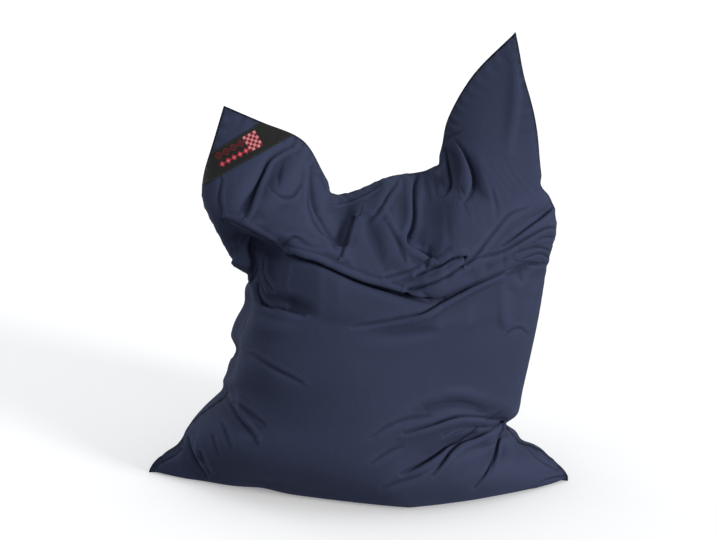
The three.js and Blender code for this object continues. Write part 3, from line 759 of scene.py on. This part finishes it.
def diamonds(along, up, pitch):
    """How far a place is from the middle of a row's nearest diamond, along both axes together."""
    return abs(along % pitch - pitch / 2) + abs(up)


def cloth_finish():
    """Navy coated nylon: a fine plain weave, small dry creases, painted shade in the hollows and
    along the seam, and a painted highlight, partly wear, on the ridges.
    """
    finish = Finish(
        "navy_nylon", Sheen_Weight=0.06, Sheen_Roughness=0.4, Sheen_Tint=(0.42, 0.52, 1.0, 1.0),
        Specular_IOR_Level=0.05,
    )
    base = settings().cloth_colour
    where = finish.place()
    u, v, _ = finish.axes(finish.place("UV"))
    fold, seam = finish.attribute("fold"), finish.attribute("seam")
    threads = waves(u, settings().weave_pitch) * waves(v, settings().weave_pitch)
    cloudy = finish.noise(where, scale=3.2, detail=3.0)
    fine = finish.noise(where, scale=46.0, detail=4.0, rough=0.62)
    speck = finish.noise(where, scale=620.0)
    valley = finish.between(fold, 0.1, 1.2)
    ridge = finish.between(fold, -0.1, -0.9)
    tone = finish.blend(finish.between(cloudy, 0.35, 0.65), colour(base, 0.93), colour(base, 1.08))
    for share, gain in (
        (valley * 0.4, 0.5),  # painted shade in the hollows
        (ridge * 0.2, 1.8),  # painted highlight on the ridges, partly wear
        (finish.between(speck, 0.45, 0.75) * 0.1, 1.8),  # pale specks
        ((threads * 0.5 + 0.5) * 0.12, 1.35),  # the weave
        (seam * 0.95, 0.08),  # painted shade: the dark line along the seam
    ):
        tone = finish.blend(share, tone, colour(base, gain))
    rough = finish.between(fine, 0.3, 0.7, 0.76, 0.86) + seam * 0.1
    creases = finish.bump(fine + cloudy * 0.4, distance=0.0035, strength=0.32)
    weave = finish.bump(threads, distance=0.00012, strength=0.5, under=creases)
    return finish.finish_with(Base_Color=tone, Roughness=rough, Normal=weave)


def ribbon_finish():
    """Black grosgrain with a woven motif in reds: outlined diamonds over a row of solid ones, and a
    small chequered field at their end."""
    finish = Finish("woven_ribbon", Sheen_Weight=0.03, Sheen_Roughness=0.5, Specular_IOR_Level=0.18)
    own = settings()
    start, chequer, end = 0.072, 0.166, 0.206
    bottom, lower_top, upper_bottom, top = 0.016, 0.034, 0.038, 0.064
    u, v, _ = finish.axes(finish.place("UV"))
    ribs, picks = waves(u, 0.0017), waves(v, 0.0009)
    fine = finish.noise(finish.place("UV"), scale=900.0)
    block = (u > start) * (u < end) * (v > bottom) * (v < top)
    field = block * (u > chequer)
    rows = block - field
    upper, lower = rows * (v > upper_bottom), rows * (v < lower_top)
    large = diamonds(u - start, v - 0.051, pitch=0.0235)
    small = diamonds(u - start, v - 0.025, pitch=0.0188)
    outline = upper * (large < 0.0115) * (large > 0.0078)
    heart = upper * (large < 0.0030)
    solid, core = lower * (small < 0.0088), lower * (small < 0.0034)
    columns = ((u - chequer) / own.chequer_size) % 2.0 > 1.0
    lines = ((v - bottom) / own.chequer_size) % 2.0 > 1.0
    cells = abs(columns - lines)
    ground = own.ribbon_colour
    black = finish.blend(finish.between(fine, 0.35, 0.7), colour(ground, 0.8), colour(ground, 1.6))
    red, deep, pale = colour(own.motif_red), colour(own.motif_red, 0.35), colour(own.motif_pale)
    tone = finish.blend(outline.either(heart), black, deep)
    tone = finish.blend(solid, tone, red)
    tone = finish.blend(core, tone, pale)
    tone = finish.blend(field, tone, finish.blend(cells, deep, pale))
    tone = finish.blend((ribs * 0.5 + 0.5) * 0.3, tone, (0.004, 0.004, 0.004, 1.0))
    raised = outline.either(heart).either(solid).either(field)
    bump = finish.bump(ribs + picks * 0.5 + raised * 1.2, distance=0.0002, strength=0.7)
    rough = finish.between(fine, 0.3, 0.7, 0.62, 0.78)
    return finish.finish_with(Base_Color=tone, Roughness=rough, Normal=bump)


def thread_finish(name, base):
    """Polyester thread, twisted and a little shinier than the cloth."""
    finish = Finish(name, Sheen_Weight=0.3)
    u, v, _ = finish.axes(finish.place("UV"))
    twist = waves(u * 1.5 + v, 0.0011)
    fine = finish.noise(finish.place(), scale=900.0)
    tone = finish.blend(twist * 0.5 + 0.5, colour(base, 0.7), colour(base, 1.3))
    rough = finish.between(fine, 0.3, 0.7, 0.4, 0.55)
    bump = finish.bump(twist, distance=0.0002, strength=0.6)
    return finish.finish_with(Base_Color=tone, Roughness=rough, Normal=bump)


def floor_finish():
    white = (1.0, 1.0, 1.0, 1.0)
    finish = Finish("pale_floor", Roughness=0.9, Emission_Color=white, Emission_Strength=0.25)
    cloudy = finish.noise(finish.place(), scale=1.5)
    tone = finish.blend(cloudy, (0.88, 0.88, 0.88, 1), (0.92, 0.92, 0.92, 1))
    return finish.finish_with(Base_Color=tone)


# The pieces


class BagSettings(PropertyGroup):
    """Sizes and colours of the bean bag."""

    cloth_colour: FloatVectorProperty(
        name="Cloth", description="Navy of the cover", subtype="COLOR",
        default=(0.0305, 0.0375, 0.071),
    )
    thread_colour: FloatVectorProperty(
        name="Thread", description="Thread of the seam", subtype="COLOR",
        default=(0.024, 0.029, 0.06),
    )
    ribbon_thread: FloatVectorProperty(
        name="Ribbon thread", description="Thread of the ribbon", subtype="COLOR",
        default=(0.02, 0.02, 0.02),
    )
    ribbon_colour: FloatVectorProperty(
        name="Ribbon", description="Ground of the ribbon", subtype="COLOR",
        default=(0.009, 0.01, 0.009),
    )
    motif_red: FloatVectorProperty(
        name="Motif red", description="Red of the motif", subtype="COLOR",
        default=(0.5, 0.03, 0.05),
    )
    motif_pale: FloatVectorProperty(
        name="Motif pale", description="Pink of the motif", subtype="COLOR",
        default=(0.68, 0.24, 0.26),
    )
    chequer_size: FloatProperty(
        name="Chequer", description="Side of a chequered square", unit="LENGTH", default=0.008
    )
    weave_pitch: FloatProperty(
        name="Weave pitch", description="Two threads of the cloth", unit="LENGTH", precision=5,
        default=0.0013,
    )
    slack_length: FloatProperty(
        name="Slack", description="Share of spare length in the slack parts", default=0.05
    )
    cloth_frames: IntProperty(
        name="Cloth steps", description="Frames that the cover is relaxed for", default=24
    )
    stitch_length: FloatProperty(
        name="Stitch", description="Length of a stitch", unit="LENGTH", default=0.0048
    )
    stitch_thickness: FloatProperty(
        name="Thread thickness", description="Thickness of a stitch", unit="LENGTH", precision=4,
        default=0.0011,
    )
    stitch_gap: FloatProperty(
        name="Gap", description="Gap between stitches", unit="LENGTH", default=0.0022
    )
    stitch_inset: FloatProperty(
        name="Inset", description="From the seam to the stitches", unit="LENGTH", default=0.008
    )
    ribbon_thickness: FloatProperty(
        name="Ribbon thickness", description="Thickness of the ribbon", unit="LENGTH",
        default=0.0012,
    )
    light: FloatProperty(name="Light", description="Strength of the key light", default=2.5)
    room_light: FloatProperty(
        name="Room light", description="Strength of the light all round", default=0.72
    )


# How sharp the seam stays, from 0 to 1, and how much of the room inside a fold may take.
SEAM_CREASE = 0.8
SHARE_OF_ROOM = 0.38
# How wide and how deep the folds are pressed and how far they roll up, as shares of the chart:
# before the cloth is relaxed, and after.
FIRST_PRESS = (1.3, 0.6, 0.7)
LAST_PRESS = (0.8, 1.0, 1.0)
# The lengths of the large and the small puckers beside the seam, their height and the seam's depth.
PUCKER, FINE_PUCKER = 0.034, 0.019
PUCKER_HEIGHT, SEAM_DEPTH = 0.0021, 0.0012


class BEANBAG_OT_cover(Operator):
    """Makes the cover from the bag's solid: welds, unwraps, relaxes and folds it"""

    bl_idname = "bean_bag.cover"
    bl_label = "Cover"

    def execute(self, context):
        cover = new_piece("cover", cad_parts["bag"].data.copy())
        cover.data.materials.clear()
        work_on(cover)
        bpy.ops.object.mode_set(mode="EDIT")
        bpy.ops.mesh.select_all(action="SELECT")
        bpy.ops.mesh.remove_doubles(threshold=0.00001)
        shape = bmesh.from_edit_mesh(cover.data)
        mark_seam(shape)
        bmesh.update_edit_mesh(cover.data)
        bpy.ops.mesh.tris_convert_to_quads(
            face_threshold=math.pi, shape_threshold=math.pi, seam=True
        )
        bpy.ops.uv.unwrap(method="ANGLE_BASED", margin=0.01)
        bpy.ops.object.mode_set(mode="OBJECT")
        panel_uv(cover.data)
        self.stiffen_seam(cover.data)
        subdivide(cover, 1)
        mesh = cover.data
        points = nudge(points_of(mesh), seam_places(mesh)[0])
        set_points(mesh, above_floor(fill_tuck(points), mesh))
        self.fold(cover, FIRST_PRESS)
        relax_cloth(cover)
        subdivide(cover, 1)
        self.refine(cover)
        self.fold(cover, LAST_PRESS)
        self.draw_in_seam(cover)
        self.finish(cover)
        return {"FINISHED"}

    def stiffen_seam(self, mesh):
        """Keeps the seam sharp where the cover is subdivided."""
        crease = mesh.attributes.new("crease_edge", "FLOAT", "EDGE")
        crease.data.foreach_set("value", [SEAM_CREASE * e.use_seam for e in mesh.edges])

    def fold(self, cover, press):
        """Presses the charted folds into the cover, as far as there is room inside it."""
        mesh = cover.data
        points = points_of(mesh)
        broad = evened(normals_of(mesh), edges_of(mesh), 4)
        broad /= np.linalg.norm(broad, axis=1)[:, None]
        moved, _ = press_folds(points, broad, *press)
        inward = -(moved * broad).sum(1)
        rows = np.nonzero(inward > 0.001)[0]
        room = room_inside(cover, points, broad, rows)
        share = np.ones(len(points))
        share[rows] = np.minimum(1, SHARE_OF_ROOM * room[rows] / inward[rows])
        share *= 0.25 + 0.75 * smooth(seam_places(mesh)[0], 0.0, 0.03)
        set_points(mesh, above_floor(points + moved * share[:, None], mesh))

    def refine(self, cover):
        """Splits the faces beside the folds once more, so that the creases are crisp."""
        mesh = cover.data
        _, near = press_folds(points_of(mesh), normals_of(mesh), *LAST_PRESS)
        shape = shape_of(mesh)
        fine = [e for e in shape.edges if all(near[v.index] > 0.02 for v in e.verts)]
        bmesh.ops.subdivide_edges(shape, edges=fine, cuts=1, use_grid_fill=True)
        shape.to_mesh(mesh)
        shape.free()
        old = np.zeros(len(mesh.vertices))
        old[: len(near)] = 1 - near
        points = points_of(mesh)
        even = evened(points, edges_of(mesh), 1)
        loose = smooth(seam_places(mesh)[0], 0.0, 0.008) * (1 - smooth(old, 0.5, 1.0))
        set_points(mesh, above_floor(points + (even - points) * loose[:, None], mesh))

    def draw_in_seam(self, cover):
        """Sinks the seam, puckers the cloth beside it and keeps how hollow the cloth is and how
        near the seam, which its finish reads for painted shade and highlight.
        """
        mesh = cover.data
        points, normals = points_of(mesh), normals_of(mesh)
        from_seam, place = seam_places(mesh)
        turn = place * 2 * math.pi
        ripple = np.sin(turn / PUCKER + 2.2 * np.sin(place * 17)) * np.exp(-from_seam / 0.02)
        fine = np.sin(turn / FINE_PUCKER + 3 * np.sin(place * 23)) * np.exp(-from_seam / 0.012)
        ripple += 0.5 * fine
        ripple *= 1 - bell(from_seam, 0.007)
        lifted = PUCKER_HEIGHT * ripple * smooth(points[:, 2], 0.004, 0.03)
        lifted -= SEAM_DEPTH * bell(from_seam, 0.004)
        points = above_floor(points + lifted[:, None] * normals, mesh)
        set_points(mesh, points)
        edges = edges_of(mesh)
        store(mesh, "fold", evened(self.hollow(points, normals, edges), edges, 2))
        # The painted shade along the seam reaches farther low down, where the fins' turned edges
        # lie in shadow.
        reach = 0.008 + 0.006 * (1 - smooth(points[:, 2], 0.2, 0.35))
        store(mesh, "seam", bell(from_seam, reach))

    def hollow(self, points, normals, edges):
        """How hollow the cloth is at each point: its bend over a centimetre, 1 for 0.1 radian."""
        count, total = np.zeros(len(points)), np.zeros(len(points))
        run = points[edges[:, 1]] - points[edges[:, 0]]
        length = np.maximum(np.linalg.norm(run, axis=1), 1e-6)
        for end, sign in ((0, 1), (1, -1)):
            rise = sign * (run * normals[edges[:, end]]).sum(1) / length**2
            np.add.at(total, edges[:, end], rise)
            np.add.at(count, edges[:, end], 1)
        return total / count * 0.2

    def finish(self, cover):
        work_on(cover)
        bpy.ops.object.shade_smooth()
        cover.data.materials.append(cloth_finish())
        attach(cover, "root")
        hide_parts("bag")


# The ends of the ribbon's two long edges on the chart of the folds, a little past the short ear.
RIBBON = {"top": ((-412, 328), (-258, 421)), "bottom": ((-438, 235), (-178, 380))}
# How far the ribbon lies off the cover.
RIBBON_GAP = 0.0008


def strike(tree, spot):
    """Where the line of sight through a spot of the chart meets a piece, and the way it faces."""
    _, towards, upward = sight(np.zeros((1, 3)), "front")
    eye = Vector(MIDDLE + towards * EYE_DISTANCE)
    target = MIDDLE + np.array([spot[0] / 1000, 0, 0]) + upward * spot[1] / 1000
    return tree.ray_cast(eye, (Vector(target) - eye).normalized())[:2]


def across_ear(tree, left, right):
    """The shares of the way from left to right at which the ear's cloth begins and ends."""
    found, margin = [], 0.012
    for outside in (0.0, 1.0):
        inside = 0.5
        for _ in range(14):
            middle = (outside + inside) / 2
            if strike(tree, left + (right - left) * middle)[0] is None:
                outside = middle
            else:
                inside = middle
        found.append(inside + (0.5 - inside) * margin)
    return found


def ribbon_row(share):
    """The two ends of a line along the ribbon on the chart, at its share of the way up."""
    top, bottom = np.array(RIBBON["top"], dtype=float), np.array(RIBBON["bottom"], dtype=float)
    return bottom * (1 - share) + top * share


class BEANBAG_OT_ribbon(Operator):
    """Lays the woven ribbon across the front of the short ear, from seam to seam"""

    bl_idname = "bean_bag.ribbon"
    bl_label = "Ribbon"

    def execute(self, context):
        tree = tree_of(bpy.data.objects["cover"])
        columns, rows = 84, 24
        corner, end = ribbon_row(0)
        direction = (end - corner) / np.linalg.norm(end - corner)
        across = np.array([-direction[1], direction[0]])
        shape = bmesh.new()
        strip = shape.loops.layers.uv.new("strip")
        grid, flat = [], {}
        for i in range(rows + 1):
            left, right = ribbon_row(i / rows)
            line = []
            for share in np.linspace(*across_ear(tree, left, right), columns + 1):
                spot = left + (right - left) * share
                hit, normal = strike(tree, spot)
                vertex = shape.verts.new(hit + normal * RIBBON_GAP)
                offset = (spot - corner) / 1000
                flat[vertex] = offset @ direction, offset @ across
                line.append(vertex)
            grid.append(line)
        for lower, upper in zip(grid, grid[1:]):
            for j in range(columns):
                face = shape.faces.new((lower[j], lower[j + 1], upper[j + 1], upper[j]))
                face.smooth = True
                for loop in face.loops:
                    loop[strip].uv = flat[loop.vert]
        inner = [v for line in grid[1:-1] for v in line[1:-1]]
        for _ in range(4):
            bmesh.ops.smooth_vert(
                shape, verts=inner, factor=0.5, use_axis_x=True, use_axis_y=True, use_axis_z=True
            )
        ribbon = new_piece("ribbon", bpy.data.meshes.new("ribbon"))
        shape.to_mesh(ribbon.data)
        shape.free()
        apply_modifier(ribbon, "SOLIDIFY", thickness=settings().ribbon_thickness, offset=1.0)
        ribbon.data.materials.append(ribbon_finish())
        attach(ribbon, "root")
        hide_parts("corner_band")
        return {"FINISHED"}


# Below this height the bag lies on the seam, and no stitch is sewn.
LOWEST_STITCH = 0.004
# How high the middle of a stitch lies over the cloth, as a share of its thickness.
STITCH_RISE = 0.2
# Both ends of a stitch turn down in two steps: how far on, as a share of its length, how far down,
# as a share of its thickness, and how much thinner.
STITCH_ENDS = ((0.16, 0.22, 0.85), (0.09, 0.5, 0.6))
# Where the ribbon's two rows of stitches run, as shares of its width.
RIBBON_ROWS = (0.035, 0.965)


def pick(shape, wanted):
    """Selects just the faces of a mesh in edit mode that are wanted."""
    for face in shape.faces:
        face.select_set(wanted(face))
    shape.select_flush_mode()


class BEANBAG_OT_stitching(Operator):
    """Sews a row of stitches beside the seam, on the front panel, and along the ribbon's edges"""

    bl_idname = "bean_bag.stitching"
    bl_label = "Stitching"

    def execute(self, context):
        own, stitch = settings(), self.stitch(context)
        cover, ribbon = bpy.data.objects["cover"], bpy.data.objects["ribbon"]
        seam = self.sew(context, "seam_stitches", stitch, self.beside_seam(cover))
        seam.data.materials.append(thread_finish("navy_thread", own.thread_colour))
        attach(seam, "root")
        edges = self.sew(context, "ribbon_stitches", stitch, self.along_ribbon(ribbon))
        edges.data.materials.append(thread_finish("black_thread", own.ribbon_thread))
        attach(edges, "root")
        bpy.data.objects.remove(stitch)
        return {"FINISHED"}

    def stitch(self, context):
        """One stitch along X: a round thread with both ends turned down into the cloth."""
        own = settings()
        length, thick = own.stitch_length, own.stitch_thickness
        bpy.ops.mesh.primitive_cylinder_add(
            vertices=6, radius=thick / 2, depth=length * 0.5, rotation=(0, math.pi / 2, 0)
        )
        stitch = context.object
        settle(stitch)
        bpy.ops.object.mode_set(mode="EDIT")
        bpy.ops.mesh.select_mode(type="FACE")
        for turn in (-1, 1):
            bpy.ops.mesh.select_all(action="DESELECT")
            shape = bmesh.from_edit_mesh(stitch.data)
            pick(shape, lambda face: turn * face.normal.x > 0.9)
            bmesh.update_edit_mesh(stitch.data)
            for share, drop, scale in STITCH_ENDS:
                bpy.ops.mesh.extrude_region_move(
                    TRANSFORM_OT_translate={"value": (turn * share * length, 0, -drop * thick)}
                )
                shape = bmesh.from_edit_mesh(stitch.data)
                spots = [v.co for v in shape.verts if v.select]
                middle = sum(spots, Vector()) / len(spots)
                bpy.ops.transform.resize(value=(1, scale, scale), center_override=middle)
        bpy.ops.object.mode_set(mode="OBJECT")
        bpy.ops.object.shade_smooth()
        layer = stitch.data.uv_layers.active
        for loop in stitch.data.loops:
            x, y, z = stitch.data.vertices[loop.vertex_index].co
            layer.data[loop.index].uv = (x, math.atan2(y, z) * thick / 2)
        return stitch

    def beside_seam(self, cover):
        """Places and directions of the stitches along the seam, on the front panel."""
        walk, points, tree = seam_walk(cover.data), points_of(cover.data), tree_of(cover)
        shape, inward = shape_of(cover.data), []
        for here, ahead in zip(walk, walk[1:] + walk[:1]):
            edge = shape.edges.get((shape.verts[here], shape.verts[ahead]))
            face = next(l.face for l in edge.link_loops if l.vert.index == ahead)
            direction = (shape.verts[ahead].co - shape.verts[here].co).normalized()
            inward.append(direction.cross(face.normal))
        shape.free()
        inward = np.array([v[:] for v in inward])
        inward = (inward + np.roll(inward, 1, 0) + np.roll(inward, -1, 0)) / 3
        places = []
        for spot, ahead, k in self.paces(points[walk + walk[:1]]):
            if spot[2] < LOWEST_STITCH:
                continue
            aside = Vector(inward[k]).normalized() * settings().stitch_inset
            hit, normal, _, _ = tree.find_nearest(Vector(spot) + aside)
            places.append((hit, normal, ahead))
        return places

    def along_ribbon(self, ribbon):
        """Places and directions of the stitches just inside the ribbon's two long edges."""
        tree, places, spots = tree_of(ribbon), [], 160
        for share in RIBBON_ROWS:
            left, right = ribbon_row(share)
            way = np.linspace(*across_ear(tree, left, right), spots)
            hits = [strike(tree, left + (right - left) * t) for t in way]
            for spot, ahead, k in self.paces(np.array([hit[0][:] for hit in hits])):
                places.append((Vector(spot), hits[k][1], ahead))
        return places

    def paces(self, line):
        """Spots a stitch apart along a line, with the way on and the line's last point before."""
        steps, along = measured(line)
        pitch = settings().stitch_length + settings().stitch_gap
        for at in np.arange(pitch, along[-1] - pitch / 2, pitch):
            k = min(np.searchsorted(along, at) - 1, len(steps) - 1)
            ahead = line[k + 1] - line[k]
            yield line[k] + ahead * (at - along[k]) / steps[k], Vector(ahead).normalized(), k

    def sew(self, context, name, stitch, places):
        """Copies the stitch to every place and joins the copies."""
        bpy.ops.object.select_all(action="DESELECT")
        copies = []
        for spot, normal, ahead in places:
            side = normal.cross(ahead).normalized()
            ahead = side.cross(normal).normalized()
            copy = stitch.copy()
            copy.data = stitch.data.copy()
            context.collection.objects.link(copy)
            turn = Matrix((ahead, side, normal)).transposed().to_4x4()
            place = spot + normal * settings().stitch_thickness * STITCH_RISE
            copy.matrix_world = Matrix.Translation(place) @ turn
            copy.select_set(True)
            copies.append(copy)
        context.view_layer.objects.active = copies[0]
        bpy.ops.object.join()
        row = context.object
        row.name = name
        settle(row)
        return row


# The camera stands where the eye of the chart is.
LENS, SENSOR_WIDTH = 89.75, 36
# The floor lies a little under the bag, which stands on height 0.
FLOOR_SIZE, FLOOR_GAP = 80, 0.0004
SUN_ANGLE = math.radians(16)
LAMPS_AIM = (0.0, 0.0, 0.55)
BACK_LIGHT = 0.15


class BEANBAG_OT_stage(Operator):
    """Sets the pale floor, the soft lights and the camera"""

    bl_idname = "bean_bag.stage"
    bl_label = "Stage"

    def execute(self, context):
        bpy.ops.mesh.primitive_plane_add(size=FLOOR_SIZE, location=(0, 0, -FLOOR_GAP))
        floor = context.object
        settle(floor)
        adjust(floor, name="floor", visible_diffuse=False)
        floor.data.materials.append(floor_finish())
        self.room(context)
        context.scene.view_settings.view_transform = "Standard"
        power = settings().light
        self.lamp("key", (3.2, -2.7, 1.6), power, (1.0, 0.98, 0.95))
        self.lamp("back", (-3.2, 2.7, 1.6), power * BACK_LIGHT, (0.85, 0.93, 1.0))
        self.camera(context)
        return {"FINISHED"}

    def room(self, context):
        """A white room with less light from below than from above."""
        context.scene.world = bpy.data.worlds.new("studio")
        nodes, light = Nodes(context.scene.world), settings().room_light
        background = nodes.tree.nodes["Background"]
        rise = nodes.axes(nodes.place())[2]
        strength = nodes.between(rise, -0.25, 0.25, 0.3 * light, light)
        nodes.plug(background.inputs["Strength"], strength)
        nodes.plug(background.inputs["Color"], (0.96, 0.98, 1.0, 1))

    def lamp(self, name, place, power, tint):
        bpy.ops.object.light_add(type="SUN", location=place)
        lamp = bpy.context.object
        lamp.name = name
        adjust(lamp.data, angle=SUN_ANGLE, energy=power, color=tint)
        self.aim(lamp, LAMPS_AIM)

    def aim(self, thing, target):
        away = Vector(target) - thing.location
        thing.rotation_euler = away.to_track_quat("-Z", "Y").to_euler()

    def camera(self, context):
        _, towards, _ = sight(np.zeros((1, 3)), "front")
        bpy.ops.object.camera_add(location=Vector(MIDDLE + towards * EYE_DISTANCE))
        camera = context.object
        self.aim(camera, MIDDLE)
        adjust(camera.data, sensor_fit="HORIZONTAL", sensor_width=SENSOR_WIDTH, lens=LENS)
        context.scene.camera = camera


class BEANBAG_PT_panel(Panel):
    """Lists the steps and the settings of the bean bag"""

    bl_idname = "BEANBAG_PT_panel"
    bl_label = "Bean Bag"
    bl_space_type = "VIEW_3D"
    bl_region_type = "UI"
    bl_category = "Bean Bag"

    def draw(self, context):
        column = self.layout.column()
        for operator in STEPS:
            column.operator(operator.bl_idname)
        for name in BagSettings.__annotations__:
            column.prop(context.scene.bean_bag, name)


STEPS = (BEANBAG_OT_cover, BEANBAG_OT_ribbon, BEANBAG_OT_stitching, BEANBAG_OT_stage)


def register():
    for each in (BagSettings, *STEPS, BEANBAG_PT_panel):
        bpy.utils.register_class(each)
    bpy.types.Scene.bean_bag = PointerProperty(type=BagSettings)


def unregister():
    del bpy.types.Scene.bean_bag
    for each in reversed((BagSettings, *STEPS, BEANBAG_PT_panel)):
        bpy.utils.unregister_class(each)


def main():
    register()
    bpy.ops.bean_bag.cover()
    bpy.ops.bean_bag.ribbon()
    bpy.ops.bean_bag.stitching()
    bpy.ops.bean_bag.stage()


if __name__ == "__main__":
    main()
